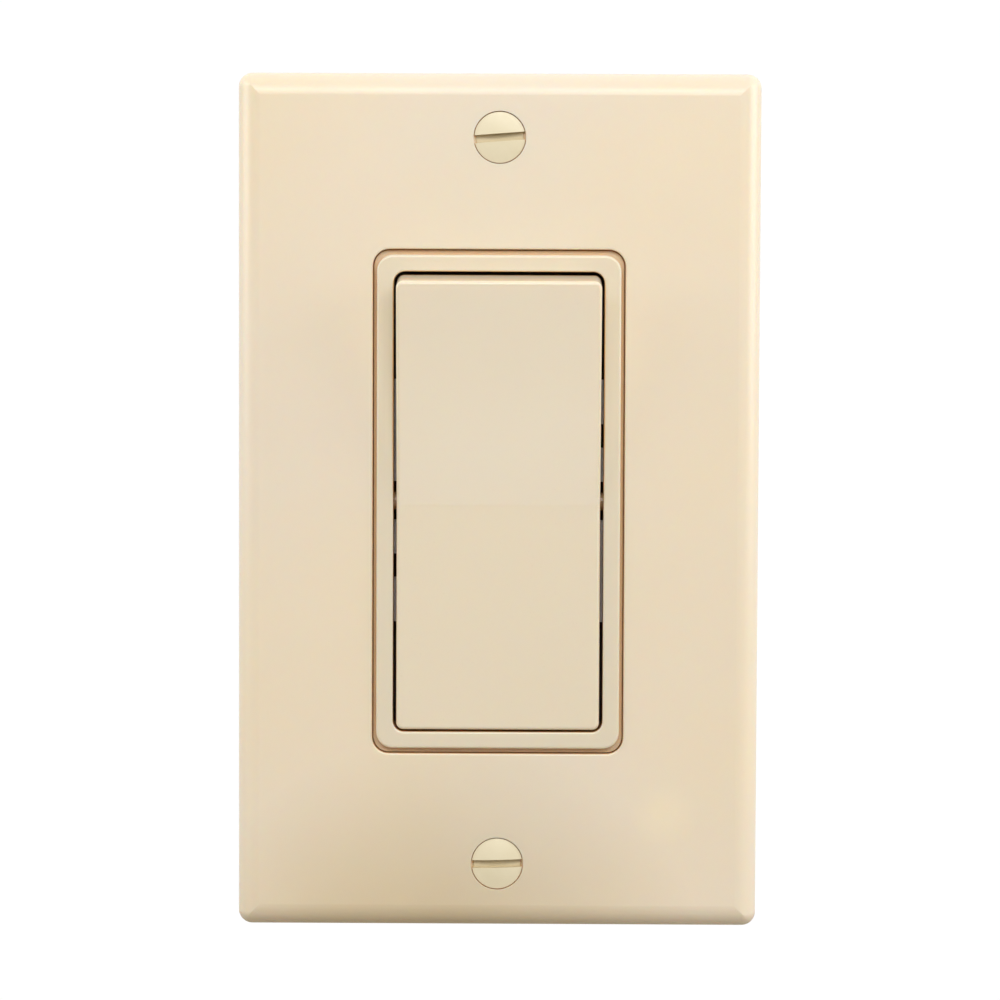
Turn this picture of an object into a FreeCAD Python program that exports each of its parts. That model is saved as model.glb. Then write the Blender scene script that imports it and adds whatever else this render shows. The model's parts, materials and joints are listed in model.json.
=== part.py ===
"""Decorator-style rocker wall switch with its one-gang wall plate, as separate pieces in millimetres.

Frame: the origin is the centre of the wall plate's rim, on the wall's surface. +Z is up, +X is to the right
of someone facing the wall, and +Y points into the wall, so the paddle faces -Y. The switch is off: the
paddle's lower half is pressed in and its upper half stands out.
"""

import FreeCAD, Part
import math
import os
from FreeCAD import Vector

# ---- driving dimensions, mm ----
PLATE_WIDTH = 69.85            # 2.75 in, standard one-gang plate
PLATE_HEIGHT = 114.3           # 4.5 in
PLATE_DEPTH = 5.6
PLATE_SKIN = 2.0
PLATE_SIDE = 1.8
PLATE_CORNER = 2.0
PLATE_EDGE = 3.0               # radius of the rounded edge between the plate's side and front
PLATE_DRAFT = 0.14             # how far the sides lean in between the rim and the rounded edge
BOSS_R, BOSS_END = 3.1, -1.7   # bosses behind the plate's screw holes
COLLAR = 0.8                   # thickness of the lip behind the plate's window
PLATE_SCREW_Z = 48.42          # 3.812 in between the plate screws
BOX_SCREW_Z = 41.67            # 3.281 in between the box screws
RIB_LEVELS = (-40.0, -20.0, 0.0, 20.0, 40.0)   # stiffening ribs behind the plate's side bands
RIB_START, RIB_HALF, RIB_HEIGHT = 21.0, 0.5, 0.8

WINDOW_WIDTH, WINDOW_HEIGHT, WINDOW_CORNER = 33.5, 67.25, 2.2
WINDOW_EDGE = 0.25             # rounding of the window's front edge
HEAD_BORE_R, HEAD_BORE_DEPTH = 3.5, 0.48   # recess that the plate screw's head sits in
HEAD_HOLE_R = 2.0              # clearance hole through the plate for its screws
HEAD_R, HEAD_DOME, HEAD_EDGE = 3.4, 0.4, 0.35   # oval head: radius, crown height, rim thickness
HEAD_SINK = 0.1                # the head's rim lies this far below the plate's face
PLATE_SLOT_HALF, PLATE_SLOT_DEPTH = 0.52, 0.6
PLATE_SCREW_R = 1.7
PLATE_SCREW_END = 6.8

BEZEL_WIDTH, BEZEL_HEIGHT, BEZEL_CORNER = 32.45, 65.8, 2.2
BEZEL_OPEN_WIDTH, BEZEL_OPEN_HEIGHT, BEZEL_OPEN_CORNER = 28.0, 61.35, 1.5
BEZEL_FRONT = -6.0
LEDGE_FRONT, LEDGE_GAP = -4.8, 0.15   # the bezel's step that nearly fills the plate's window
FLANGE_FRONT = -2.9
FLANGE_WIDTH, FLANGE_HEIGHT = 35.5, 68.0
FLANGE_CORNER = 2.5
TAB_WIDTH, TAB_END = 14.0, 37.5   # tabs above and below the flange that the rivets pass through
RIVET_Z = 36.0
RIVET_R, RIVET_HOLE_R, RIVET_HEAD_R = 0.95, 1.0, 1.4
RIVET_HEAD, RIVET_TAIL = 0.5, 0.8   # heights of the rivet's two heads

STRAP_FRONT = -1.3
STRAP_END = 53.2
STRAP_CENTRE_HEIGHT, STRAP_SPINE_WIDTH = 72.0, 20.0
EAR_HALF, EAR_Z, EAR_NOTCH_R = 13.0, 45.2, 0.9   # break-off ears, with a weakening hole beside each
GROUND_SCREW_Y, GROUND_SCREW_Z = 4.8, -40.4
GROUND_TAB_X, GROUND_TAB_THICK = -15.1, 1.3
STRAP_NARROW = 12.6            # half-width of the strap's window where its edges show beside the paddle
STRAP_WIDE = 14.4              # half-width of the window above and below that
STRAP_STEP_Z = 16.3
STRAP_WINDOW_Z = 31.0

PADDLE_WIDTH = 27.1
PADDLE_HALF = 29.95            # half-height across the face, in mid-travel
PADDLE_CREASE = -6.1           # the crease's y, in mid-travel
PADDLE_WALL = 1.5
PADDLE_SKIN = 1.8
PADDLE_CORNER, PADDLE_RIM, PADDLE_BLEND = 0.95, 0.45, 3.0   # face corners, face rim, and the crease's blend
SKIRT_BACK = -2.9              # y of the paddle walls' back edge, in mid-travel
TILT = 4.5                     # turn either side of mid-travel, and the slope of each half of the face
PIVOT_Y = -2.0
PIVOT_R, PIVOT_HOLE_R = 1.2, 1.28
PIVOT_END = 15.5               # x of the pivot pin's end
STIFFENER_X, STIFFENER_HALF = 7.5, 20.0

POST_R, POST_BORE_R, POST_END = 3.3, 2.05, 9.2
PLUNGER_R, STEM_R, STEM_TOP = 1.9, 0.8, 0.8
PLUNGER_REACH = 12.64          # from the paddle's pivot to the centre of the plunger's round tip
SPRING_R, SPRING_WIRE_R, SPRING_TURNS = 1.35, 0.22, 6
SPRING_TOP, SPRING_BOTTOM = -2.3, 4.7

ARM_TILT = 6.0                 # the contact arm rocks this far either side of level
ARM_PIVOT_Y = 13.4
ARM_THICK, ARM_HALF, ARM_HALF_WIDTH = 0.8, 11.5, 2.3
ARM_PIN_R, ARM_PIN_END, ARM_NOTCH_R = 0.7, 3.7, 0.8
CONTACT_Z, CONTACT_THICK = -10.0, 0.8
CONTACT_CROWN_R = 4.0
MOVING_CONTACT_R, FIXED_CONTACT_R = 1.5, 1.7
FIXED_CONTACT_FRONT = 15.3
PLATFORM_Y = 15.2
BRASS = 0.8                    # thickness of the brass strip inside the base

BASE_WIDTH, BASE_HEIGHT, BASE_DEPTH, BASE_CORNER = 33.0, 67.0, 25.0, 2.5
BASE_WALL, BASE_END_WALL, BASE_BACK = 1.8, 2.0, 2.0
BASE_EDGE = 0.8
COVER_Y, COVER_THICK = 3.2, 1.2
COVER_FIT = 0.1                # gap all round the cover

TERMINAL_Z = 19.0
TERMINAL_X = 10.9              # inner face of the brass terminal plates
TERMINAL_THICK = 1.0
TERMINAL_SCREW_Y = 14.5
BAY_HALF = 6.5                 # half-height of each wiring bay
BAY_WALL = 1.2
BAY_FRONT = 8.0
CLAMP_GAP = 0.3                # between the brass plate and the clamp with its screw run in
CLAMP_THICK, CLAMP_HALF, CLAMP_HOLE_R = 1.1, 4.2, 1.9

SCREW_R = 1.75                 # 6-32 thread, outside
SCREW_HOLE_R = 1.8
SCREW_TIP, SCREW_TIP_R = 0.6, 1.2
TERMINAL_SCREW_LENGTH, TERMINAL_HEAD_R = 6.6, 3.7
GROUND_SCREW_LENGTH, GROUND_HEAD_R = 6.0, 3.6
BOX_SCREW_END, BOX_HEAD_R, BOX_HEAD_HEIGHT = 24.1, 3.3, 2.1
BOX_NECK_END, BOX_NECK_R = 2.0, 1.5   # plain length under a box screw's head
SLOT_HALF = 0.5                # half-width of the terminal, ground and box screws' slots
KEEPER_HALF, KEEPER_THICK = 4.0, 0.8
HOOK_X, HOOK_THICK = 14.15, 1.2
HOOK_Z, HOOK_HALF = 8.75, 1.45
HOOK_END, BARB = 2.9, 0.55
HOOK_FIT = 0.15                # gap beside a hook in its slot
LUG_DEPTH = 6.0
LUG_HALF = 6.0
LAP = 0.5                      # how far blocks that grow out of one another run into each other


# ---- small shape helpers ----
def block(x0, x1, y0, y1, z0, z1):
    return Part.makeBox(x1 - x0, y1 - y0, z1 - z0, Vector(x0, y0, z0))


def side_block(side, x0, x1, y0, y1, z0, z1):
    """A block between x0 and x1 on the right (side 1) or mirrored to the left (side -1)."""
    a, b = sorted((side * x0, side * x1))
    return block(a, b, y0, y1, z0, z1)


def rod(radius, start, end):
    a, b = Vector(*start), Vector(*end)
    return Part.makeCylinder(radius, (b - a).Length, a, b - a)


def taper(r0, r1, start, end):
    a, b = Vector(*start), Vector(*end)
    return Part.makeCone(r0, r1, (b - a).Length, a, b - a)


def runs_along(edge, axis):
    """Whether a straight edge runs along the axis, 0 for X, 1 for Y or 2 for Z."""
    if len(edge.Vertexes) != 2:
        return False
    gap = edge.Vertexes[1].Point - edge.Vertexes[0].Point
    return gap.Length > 1e-6 and abs(abs(gap[axis]) - gap.Length) < 1e-6


def round_edges(shape, radius, wanted):
    return shape.makeFillet(radius, [e for e in shape.Edges if wanted(e)])


def middle(edge):
    return edge.valueAt((edge.FirstParameter + edge.LastParameter) / 2)


def slab(width, height, corner, y0, y1):
    """A rounded rectangle centred on the Y axis, from y0 to y1."""
    blank = block(-width / 2, width / 2, y0, y1, -height / 2, height / 2)
    return round_edges(blank, corner, lambda e: runs_along(e, 1))


def turned(shape, degrees, pivot_y):
    """The shape turned about the X-wise line at z = 0 and this y; positive tips its top towards the room."""
    copy = shape.copy()
    copy.rotate(Vector(0, pivot_y, 0), Vector(1, 0, 0), degrees)
    return copy


def up_and_down(make):
    """The fused pair of shapes that make(sign) gives for the upper (1) and lower (-1) end."""
    return make(1).fuse(make(-1))


# ---- wall plate ----
def edge_face(half, start, across):
    """The plate's section from start to half, with its rounded edge; across turns it from X to Z."""
    def at(side, depth):
        return Vector(0, -depth, side) if across else Vector(side, -depth, 0)

    shoulder, straight = half - PLATE_DRAFT, PLATE_DEPTH - PLATE_EDGE
    flat = shoulder - PLATE_EDGE
    bend = PLATE_EDGE * math.sqrt(0.5)
    arc = Part.Arc(at(shoulder, straight), at(flat + bend, straight + bend), at(flat, PLATE_DEPTH))
    edges = [
        Part.makeLine(at(start, 0), at(half, 0)),
        Part.makeLine(at(half, 0), at(shoulder, straight)),
        arc.toShape(),
        Part.makeLine(at(flat, PLATE_DEPTH), at(start, PLATE_DEPTH)),
        Part.makeLine(at(start, PLATE_DEPTH), at(start, 0)),
    ]
    return Part.Face(Part.Wire(edges))


def ridge(half, length, across):
    """A bar with both long front edges rounded, half wide each way."""
    face = edge_face(half, 0, across)
    sweep = Vector(length, 0, 0) if across else Vector(0, 0, length)
    right = face.extrude(sweep)
    right.translate(sweep * -0.5)
    left = right.mirror(Vector(0, 0, 0), Vector(0, 0, 1) if across else Vector(1, 0, 0))
    return right.fuse(left).removeSplitter()


def plate_blank():
    half_x, half_z = PLATE_WIDTH / 2, PLATE_HEIGHT / 2
    body = ridge(half_x, PLATE_HEIGHT, False).common(ridge(half_z, PLATE_WIDTH, True))
    # the same edge section, turned about each corner's own centre
    outer = block(half_x - PLATE_CORNER, half_x + 1, -PLATE_DEPTH - 1, 1, -1, 1)
    profile = edge_face(half_x, 0, False).common(outer)
    for sx in (-1, 1):
        for sz in (-1, 1):
            cx, cz = sx * (half_x - PLATE_CORNER), sz * (half_z - PLATE_CORNER)
            x0, x1 = sorted((cx, sx * (half_x + 1)))
            z0, z1 = sorted((cz, sz * (half_z + 1)))
            body = body.cut(block(x0, x1, -PLATE_DEPTH - 1, 1, z0, z1))
            turned_edge = profile.copy()
            turned_edge.translate(Vector(cx - half_x + PLATE_CORNER, 0, cz))
            start = {(1, 1): -90, (-1, 1): 180, (-1, -1): 90, (1, -1): 0}[(sx, sz)]
            turned_edge.rotate(Vector(cx, 0, cz), Vector(0, 1, 0), start)
            body = body.fuse(turned_edge.revolve(Vector(cx, 0, cz), Vector(0, 1, 0), 90))
    return body.removeSplitter()


def countersink(sign):
    z = sign * PLATE_SCREW_Z
    floor = -PLATE_DEPTH + HEAD_BORE_DEPTH
    mouth = HEAD_BORE_R - 0.05
    bore = rod(HEAD_BORE_R, (0, -PLATE_DEPTH - 1, z), (0, floor, z))
    cone = taper(mouth, HEAD_HOLE_R, (0, floor, z), (0, floor + mouth - HEAD_HOLE_R, z))
    return bore.multiFuse([cone, rod(HEAD_HOLE_R, (0, floor + 1, z), (0, 0, z))])


def wall_plate():
    skin = -PLATE_DEPTH + PLATE_SKIN
    cavity = slab(PLATE_WIDTH - 2 * PLATE_SIDE, PLATE_HEIGHT - 2 * PLATE_SIDE, 1.2, skin, 1.0)
    shell = plate_blank().cut(cavity)
    boss = rod(BOSS_R, (0, skin - LAP, PLATE_SCREW_Z), (0, BOSS_END, PLATE_SCREW_Z))
    bosses = [boss, boss.mirror(Vector(0, 0, 0), Vector(0, 0, 1))]
    collar = slab(WINDOW_WIDTH + 2 * COLLAR, WINDOW_HEIGHT + 2 * COLLAR, WINDOW_CORNER + COLLAR,
                  skin - LAP, FLANGE_FRONT - 0.2)
    rib_end = PLATE_WIDTH / 2 - PLATE_SIDE + LAP
    ribs = [side_block(s, RIB_START, rib_end, skin - LAP, skin + RIB_HEIGHT, z - RIB_HALF, z + RIB_HALF)
            for z in RIB_LEVELS for s in (-1, 1)]
    shell = shell.multiFuse(bosses + [collar] + ribs)
    window = slab(WINDOW_WIDTH, WINDOW_HEIGHT, WINDOW_CORNER, -PLATE_DEPTH - 1, 1)
    shell = shell.cut(window).cut(up_and_down(countersink)).removeSplitter()

    def front_window_edge(e):
        p = middle(e)
        inside = abs(p.x) < WINDOW_WIDTH / 2 + 0.01 and abs(p.z) < WINDOW_HEIGHT / 2 + 0.01
        return abs(p.y + PLATE_DEPTH) < 1e-4 and inside

    return round_edges(shell, WINDOW_EDGE, front_window_edge)


def plate_screw(sign, slot_degrees):
    """Oval-head 6-32 screw, 1/2 in long."""
    z = sign * PLATE_SCREW_Z
    seat = -PLATE_DEPTH + HEAD_SINK
    ball_r = (HEAD_R ** 2 + HEAD_DOME ** 2) / (2 * HEAD_DOME)
    cap = Part.makeSphere(ball_r, Vector(0, seat - HEAD_DOME + ball_r, z))
    cap = cap.common(rod(HEAD_R, (0, seat - 1, z), (0, seat + HEAD_EDGE, z)))
    neck, tip_start = seat + HEAD_EDGE + HEAD_R - PLATE_SCREW_R, PLATE_SCREW_END - SCREW_TIP
    cone = taper(HEAD_R, PLATE_SCREW_R, (0, seat + HEAD_EDGE, z), (0, neck, z))
    shank = rod(PLATE_SCREW_R, (0, neck, z), (0, tip_start, z))
    tip = taper(PLATE_SCREW_R, SCREW_TIP_R, (0, tip_start, z), (0, PLATE_SCREW_END, z))
    slot = block(-4, 4, seat - 1, seat + PLATE_SLOT_DEPTH, z - PLATE_SLOT_HALF, z + PLATE_SLOT_HALF)
    slot.rotate(Vector(0, 0, z), Vector(0, 1, 0), slot_degrees)
    return cap.multiFuse([cone, shank, tip]).cut(slot).removeSplitter()


# ---- device: bezel, strap, rivets and box screws ----
def hook(side):
    """A snap hook on the bezel that passes the strap and catches the base; side is 1 for the right."""
    x1 = HOOK_X + HOOK_THICK
    z0, z1 = side * HOOK_Z - HOOK_HALF, side * HOOK_Z + HOOK_HALF
    stem = side_block(side, HOOK_X, x1, STRAP_FRONT - 0.3, HOOK_END, z0, z1)
    barb = side_block(side, x1, x1 + BARB, HOOK_END - 1.45, HOOK_END - LAP, z0, z1)
    return stem.fuse(barb)


def pivot_boss(side):
    return side_block(side, BEZEL_OPEN_WIDTH / 2, PIVOT_END + 0.3, STRAP_FRONT - 0.2, 0.2, -2.4, 2.4)


def bezel():
    lip = slab(BEZEL_WIDTH, BEZEL_HEIGHT, BEZEL_CORNER, BEZEL_FRONT, FLANGE_FRONT + LAP)
    lip = round_edges(lip, 0.35, lambda e: abs(middle(e).y - BEZEL_FRONT) < 1e-4)
    ledge = slab(WINDOW_WIDTH - 2 * LEDGE_GAP, WINDOW_HEIGHT - 2 * LEDGE_GAP, WINDOW_CORNER - LEDGE_GAP,
                 LEDGE_FRONT, FLANGE_FRONT + LAP)
    flange = slab(FLANGE_WIDTH, FLANGE_HEIGHT, FLANGE_CORNER, FLANGE_FRONT, STRAP_FRONT)
    tab = block(-TAB_WIDTH / 2, TAB_WIDTH / 2, FLANGE_FRONT, STRAP_FRONT, -TAB_END, TAB_END)
    body = lip.multiFuse([ledge, flange, tab])
    body = body.cut(slab(BEZEL_OPEN_WIDTH, BEZEL_OPEN_HEIGHT, BEZEL_OPEN_CORNER, BEZEL_FRONT - 1, 1))
    body = body.removeSplitter()

    def inner_front(e):
        p = middle(e)
        return (abs(p.y - BEZEL_FRONT) < 1e-4 and abs(p.x) < BEZEL_OPEN_WIDTH / 2 + 0.01
                and abs(p.z) < BEZEL_OPEN_HEIGHT / 2 + 0.01)

    body = round_edges(body, 0.25, inner_front)
    body = body.multiFuse([hook(1), hook(-1), pivot_boss(1), pivot_boss(-1)])
    hole_end = PIVOT_END + 0.25
    body = body.cut(rod(PIVOT_HOLE_R, (-hole_end, PIVOT_Y, 0), (hole_end, PIVOT_Y, 0)))
    rivet_holes = up_and_down(lambda s: rod(RIVET_HOLE_R, (0, -4, s * RIVET_Z), (0, 0, s * RIVET_Z)))
    return body.cut(rivet_holes).removeSplitter()


def strap_outline():
    centre = slab(FLANGE_WIDTH, STRAP_CENTRE_HEIGHT, FLANGE_CORNER, STRAP_FRONT, 0)
    spine = slab(STRAP_SPINE_WIDTH, 2 * STRAP_END, 3.0, STRAP_FRONT, 0)
    ear = block(-EAR_HALF, EAR_HALF, STRAP_FRONT, 0, EAR_Z, STRAP_END)
    ears = ear.fuse(ear.mirror(Vector(0, 0, 0), Vector(0, 0, 1)))
    ears = round_edges(ears, 2.4, lambda e: runs_along(e, 1))
    return centre.multiFuse([spine, ears])


def strap_window():
    half = STRAP_WIDE
    ends = slab(2 * half, 2 * STRAP_WINDOW_Z, 1.5, STRAP_FRONT - 1, 1)
    rails = [side_block(s, STRAP_NARROW, half, STRAP_FRONT - 1, 1, -STRAP_STEP_Z, STRAP_STEP_Z)
             for s in (-1, 1)]
    opening = ends.cut(rails[0].fuse(rails[1]))
    slot_end, hook_slot = HOOK_X + HOOK_THICK + BARB + 0.05, HOOK_HALF + HOOK_FIT
    pivots = block(-slot_end, slot_end, STRAP_FRONT - 1, 1, -2.6, 2.6)
    hooks = [side_block(s, 12.0, slot_end, STRAP_FRONT - 1, 1, s * HOOK_Z - hook_slot, s * HOOK_Z + hook_slot)
             for s in (-1, 1)]
    return opening.multiFuse([pivots] + hooks)


def obround(half_length, radius, z, y0, y1):
    centre = half_length - radius
    bar = block(-centre, centre, y0, y1, z - radius, z + radius)
    return bar.multiFuse([rod(radius, (x, y0, z), (x, y1, z)) for x in (-centre, centre)])


def strap():
    body = strap_outline().cut(strap_window())
    tab_z0, tab_z1, tab_x1 = GROUND_SCREW_Z - 3.8, GROUND_SCREW_Z + 3.8, GROUND_TAB_X + GROUND_TAB_THICK
    tab_foot = block(GROUND_TAB_X, -9.0, STRAP_FRONT, 0, tab_z0, tab_z1 + 0.6)
    tab = block(GROUND_TAB_X, tab_x1, STRAP_FRONT, 2 * GROUND_SCREW_Y, tab_z0, tab_z1)
    tab = round_edges(tab, 1.5, lambda e: runs_along(e, 0) and middle(e).y > 5)
    body = body.multiFuse([tab_foot, tab])
    holes = [rod(SCREW_HOLE_R, (0, -3, s * PLATE_SCREW_Z), (0, 1, s * PLATE_SCREW_Z)) for s in (-1, 1)]
    holes += [rod(RIVET_HOLE_R, (0, -3, s * RIVET_Z), (0, 1, s * RIVET_Z)) for s in (-1, 1)]
    holes += [obround(3.6, 2.1, s * BOX_SCREW_Z, -3, 1) for s in (-1, 1)]
    notch_x = STRAP_SPINE_WIDTH / 2
    holes += [rod(EAR_NOTCH_R, (x, -3, s * EAR_Z), (x, 1, s * EAR_Z))
              for x in (-notch_x, notch_x) for s in (-1, 1)]
    holes.append(rod(SCREW_HOLE_R, (GROUND_TAB_X - 1, GROUND_SCREW_Y, GROUND_SCREW_Z),
                     (tab_x1 + 1, GROUND_SCREW_Y, GROUND_SCREW_Z)))
    for hole in holes:
        body = body.cut(hole)
    return body.removeSplitter()


def rivet(sign):
    z = sign * RIVET_Z
    front, back = FLANGE_FRONT - RIVET_HEAD, LUG_DEPTH + RIVET_TAIL
    head = rod(RIVET_HEAD_R, (0, front, z), (0, FLANGE_FRONT, z))
    head = round_edges(head, 0.3, lambda e: abs(middle(e).y - front) < 1e-4)
    shank = rod(RIVET_R, (0, FLANGE_FRONT, z), (0, LUG_DEPTH, z))
    tail = rod(RIVET_HEAD_R, (0, LUG_DEPTH, z), (0, back, z))
    tail = round_edges(tail, 0.35, lambda e: abs(middle(e).y - back) < 1e-4)
    return head.multiFuse([shank, tail])


def cross_slot(y0, y1, z):
    """A slot and a shorter cross slot, for a combination-head screw on the centre line."""
    long_slot = block(-4, 4, y0, y1, z - SLOT_HALF, z + SLOT_HALF)
    return long_slot.fuse(block(-SLOT_HALF, SLOT_HALF, y0, y1, z - 2, z + 2))


def box_screw(sign):
    """6-32 screw, 1 in long, that holds the strap to the wall box."""
    z = sign * BOX_SCREW_Z
    head_top, tip_start = STRAP_FRONT - BOX_HEAD_HEIGHT, BOX_SCREW_END - 0.7
    head = rod(BOX_HEAD_R, (0, head_top, z), (0, STRAP_FRONT, z))
    head = round_edges(head, 1.0, lambda e: abs(middle(e).y - head_top) < 1e-4)
    neck = rod(BOX_NECK_R, (0, STRAP_FRONT, z), (0, BOX_NECK_END, z))
    thread = rod(SCREW_R, (0, BOX_NECK_END, z), (0, tip_start, z))
    tip = taper(SCREW_R, SCREW_TIP_R, (0, tip_start, z), (0, BOX_SCREW_END, z))
    slot = cross_slot(head_top - 1, STRAP_FRONT - 1, z)
    return head.multiFuse([neck, thread, tip]).cut(slot).removeSplitter()


def screw_keeper(sign):
    """Fibre washer that keeps a box screw in its slot."""
    z = sign * BOX_SCREW_Z
    sheet = block(-KEEPER_HALF, KEEPER_HALF, 0, KEEPER_THICK, z - KEEPER_HALF + 0.1, z + KEEPER_HALF - 0.1)
    sheet = round_edges(sheet, 1.0, lambda e: runs_along(e, 1))
    return sheet.cut(rod(SCREW_HOLE_R, (0, -1, z), (0, 2, z)))


# ---- paddle and plunger, drawn in mid-travel ----
def vee(offset, half, y_back):
    """The paddle's side outline, offset behind its face and closed at y_back, with square ends."""
    slope = math.tan(math.radians(TILT))
    crease = PADDLE_CREASE + offset
    corner = crease - half * slope
    back = half + (y_back - corner) * slope
    points = [(crease, 0), (corner, half), (y_back, back), (y_back, -back), (corner, -half)]
    corners = [Vector(0, y, z) for y, z in points]
    return Part.Face(Part.makePolygon(corners + corners[:1]))


def paddle_prism(half_width, offset, half, y_back):
    face = vee(offset, half, y_back)
    face.translate(Vector(-half_width, 0, 0))
    return face.extrude(Vector(2 * half_width, 0, 0))


def on_paddle_face(point):
    slope = math.tan(math.radians(TILT))
    return point.y < PADDLE_CREASE - abs(point.z) * slope + 0.06


def paddle_block():
    half_width = PADDLE_WIDTH / 2
    body = paddle_prism(half_width, 0, PADDLE_HALF, SKIRT_BACK)

    def end_corner(e):
        return abs(middle(e).z) > PADDLE_HALF - 0.1 and not runs_along(e, 0)

    def crease(e):
        return runs_along(e, 0) and abs(middle(e).z) < 1e-4 and middle(e).y < SKIRT_BACK - 1

    body = round_edges(body, PADDLE_CORNER, end_corner)
    body = round_edges(body, PADDLE_BLEND, crease)

    def rim(e):
        p = middle(e)
        return on_paddle_face(p) and (abs(p.x) > half_width - 0.5 or abs(p.z) > PADDLE_HALF - 0.5)

    return round_edges(body, PADDLE_RIM, rim)


def paddle():
    half_width, inner = PADDLE_WIDTH / 2, PADDLE_WIDTH / 2 - PADDLE_WALL
    body = paddle_block()
    body = body.cut(paddle_prism(inner, PADDLE_SKIN, PADDLE_HALF - PADDLE_SKIN, 1))
    ears = [side_block(s, inner, half_width, PIVOT_Y - 2, PIVOT_Y + 1.4, -2.1, 2.1) for s in (-1, 1)]
    body = body.multiFuse(ears)
    pins = [rod(PIVOT_R, (s * (inner + LAP), PIVOT_Y, 0), (s * PIVOT_END, PIVOT_Y, 0)) for s in (-1, 1)]
    beam = block(-inner - LAP, inner + LAP, PADDLE_CREASE + 1.5, PIVOT_Y + 0.6, -0.8, 0.8)
    stiffeners = [side_block(s, STIFFENER_X - 0.5, STIFFENER_X + 0.5, PADDLE_CREASE + 0.8, SKIRT_BACK - 0.7,
                             -STIFFENER_HALF, STIFFENER_HALF) for s in (-1, 1)]
    post = rod(POST_R, (0, PADDLE_CREASE + 1.2, 0), (0, POST_END, 0))
    body = body.multiFuse(pins + [beam, post] + stiffeners)
    bore = rod(POST_BORE_R, (0, SPRING_TOP - 0.3, 0), (0, POST_END + 1, 0))
    return turned(body.cut(bore).removeSplitter(), TILT, PIVOT_Y)


def plunger():
    centre = PIVOT_Y + PLUNGER_REACH
    body = rod(PLUNGER_R, (0, SPRING_BOTTOM + 0.3, 0), (0, centre, 0))
    stem = rod(STEM_R, (0, STEM_TOP, 0), (0, SPRING_BOTTOM + 0.3, 0))
    tip = Part.makeSphere(PLUNGER_R, Vector(0, centre, 0))
    return turned(body.multiFuse([stem, tip]).removeSplitter(), TILT, PIVOT_Y)


def plunger_spring():
    length = SPRING_BOTTOM - SPRING_TOP
    path = Part.makeHelix(length / SPRING_TURNS, length, SPRING_R)
    section = Part.Wire(Part.makeCircle(SPRING_WIRE_R, Vector(SPRING_R, 0, 0), Vector(0, 1, 0)))
    coil = Part.Wire(path).makePipeShell([section], True, True)
    coil.rotate(Vector(0, 0, 0), Vector(1, 0, 0), -90)
    coil.translate(Vector(0, SPRING_TOP, 0))
    return turned(coil, TILT, PIVOT_Y)


# ---- contact arm, drawn level ----
def contact_arm():
    strip = block(-ARM_HALF_WIDTH, ARM_HALF_WIDTH, ARM_PIVOT_Y - ARM_THICK, ARM_PIVOT_Y, -ARM_HALF, ARM_HALF)
    strip = round_edges(strip, 1.2, lambda e: runs_along(e, 1))
    pin = rod(ARM_PIN_R, (-ARM_PIN_END, ARM_PIVOT_Y, 0), (ARM_PIN_END, ARM_PIVOT_Y, 0))
    return turned(strip.fuse(pin).removeSplitter(), -ARM_TILT, ARM_PIVOT_Y)


def moving_contact():
    top = ARM_PIVOT_Y + CONTACT_THICK
    disc = rod(MOVING_CONTACT_R, (0, ARM_PIVOT_Y, CONTACT_Z), (0, top, CONTACT_Z))
    dome = Part.makeSphere(CONTACT_CROWN_R, Vector(0, top - CONTACT_CROWN_R, CONTACT_Z))
    return turned(disc.common(dome), -ARM_TILT, ARM_PIVOT_Y)


def fixed_contact():
    back = FIXED_CONTACT_FRONT + CONTACT_THICK
    return rod(FIXED_CONTACT_R, (0, FIXED_CONTACT_FRONT, CONTACT_Z), (0, back, CONTACT_Z))


# ---- terminals, on the right-hand side ----
def terminal_plate(sign):
    x0, x1 = TERMINAL_X, TERMINAL_X + TERMINAL_THICK
    z0, z1 = sorted((sign * (TERMINAL_Z - BAY_HALF + 0.2), sign * (TERMINAL_Z + BAY_HALF - 0.2)))
    return block(x0, x1, 9.2, 19.6, z0, z1)


def terminal_hole(sign):
    z = sign * TERMINAL_Z
    return rod(SCREW_HOLE_R, (8, TERMINAL_SCREW_Y, z), (14, TERMINAL_SCREW_Y, z))


def line_terminal():
    """Brass terminal whose two ears carry the contact arm."""
    x1 = TERMINAL_X + TERMINAL_THICK
    floor = block(-3.4, x1, PLATFORM_Y - BRASS, PLATFORM_Y, -2.2, 2.2)
    link = block(TERMINAL_X, x1, 12.4, PLATFORM_Y, -2.2, TERMINAL_Z - BAY_HALF + 0.3)
    ears = [side_block(s, 3.4 - BRASS, 3.4, 12.0, PLATFORM_Y - 0.4, -2.2, 2.2) for s in (-1, 1)]
    notch = rod(ARM_NOTCH_R, (-4, ARM_PIVOT_Y, 0), (4, ARM_PIVOT_Y, 0))
    notch = notch.fuse(block(-4, 4, ARM_PIVOT_Y - 2.4, ARM_PIVOT_Y, -ARM_NOTCH_R, ARM_NOTCH_R))
    body = ears[0].fuse(ears[1]).cut(notch)
    return body.multiFuse([floor, link, terminal_plate(1)]).cut(terminal_hole(1)).removeSplitter()


def load_terminal():
    """Brass terminal that carries the fixed contact."""
    x1, level = TERMINAL_X + TERMINAL_THICK, FIXED_CONTACT_FRONT + CONTACT_THICK
    inner_z = CONTACT_Z + 2.0
    pad = block(-2.2, 2.2, level, level + BRASS, CONTACT_Z - 2.2, inner_z)
    floor = block(-2.2, x1, level, level + BRASS, CONTACT_Z - 1.2, inner_z)
    link = block(TERMINAL_X, x1, 14.1, level + BRASS, -TERMINAL_Z + BAY_HALF - 0.3, inner_z)
    return pad.multiFuse([floor, link, terminal_plate(-1)]).cut(terminal_hole(-1)).removeSplitter()


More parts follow.
